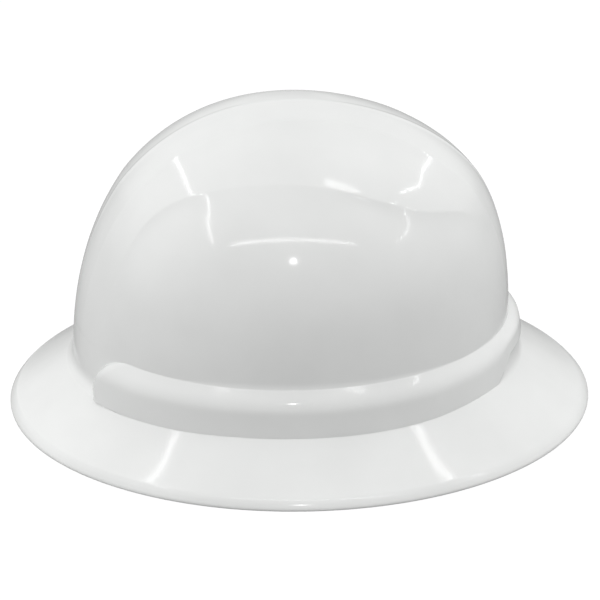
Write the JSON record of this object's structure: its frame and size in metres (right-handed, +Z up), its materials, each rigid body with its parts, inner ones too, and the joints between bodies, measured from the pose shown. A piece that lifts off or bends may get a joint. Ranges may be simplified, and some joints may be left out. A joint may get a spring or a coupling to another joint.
{
  "type": "full brim hard hat",
  "caption": "Glossy moulded safety helmet with a domed crown, a raised panel and rib, a rounded band, a wide sloping brim all round and a ratchet suspension inside.",
  "frame": {"origin": "centre of the brim's rim, on the surface the hat stands on", "axes": "front of the hat towards -Y, the wearer's left towards +X, +Z up"},
  "size_m": [0.2794, 0.31, 0.163],
  "materials": {
    "shell_plastic": "gloss",
    "strap_webbing": "woven",
    "suspension_plastic": "satin",
    "rack_plastic": "satin",
    "gear_plastic": "satin",
    "pad_fabric": "soft",
    "screw_steel": "brushed"
  },
  "bodies": {
    "hat": {"shell": "shell_plastic", "crown_strap_lower": "strap_webbing", "crown_strap_upper": "strap_webbing", "key_front_left": "suspension_plastic", "key_front_right": "suspension_plastic", "key_rear_left": "suspension_plastic", "key_rear_right": "suspension_plastic"},
    "head_ring": {"headband": "suspension_plastic", "headband_studs": "suspension_plastic", "brow_pad": "pad_fabric", "brow_pad_snaps": "suspension_plastic", "ratchet_housing": "suspension_plastic", "ratchet_cover": "suspension_plastic", "cover_screws": "screw_steel", "detent_spring": "screw_steel", "nape_pad": "pad_fabric"},
    "left_arm": {"rack_arm_left": "rack_plastic"},
    "right_arm": {"rack_arm_right": "rack_plastic"},
    "knob_shaft": {"knob": "suspension_plastic", "pinion": "gear_plastic", "knob_screw": "screw_steel"}
  },
  "joints": [
    {"name": "headband_height", "type": "slide", "parent": "hat", "child": "head_ring", "axis": [0, 0, 1], "range_m": [0, 0.006]},
    {"name": "knob_turn", "type": "hinge", "parent": "head_ring", "child": "knob_shaft", "pos_m": [0, 0.1, 0.02], "axis": [0, -1, 0], "range_deg": [-200, 200]},
    {"name": "left_arm_slide", "type": "hinge", "parent": "head_ring", "child": "left_arm", "pos_m": [0, 0.019, 0.02], "axis": [0, 0, 1], "range_deg": [-15, 15]},
    {"name": "right_arm_slide", "type": "hinge", "parent": "head_ring", "child": "right_arm", "pos_m": [0, 0.019, 0.02], "axis": [0, 0, -1], "range_deg": [-15, 15]}
  ],
  "couplings": [
    {"joint": "left_arm_slide", "follows": "knob_turn", "ratio": 0.075},
    {"joint": "right_arm_slide", "follows": "knob_turn", "ratio": 0.075}
  ]
}
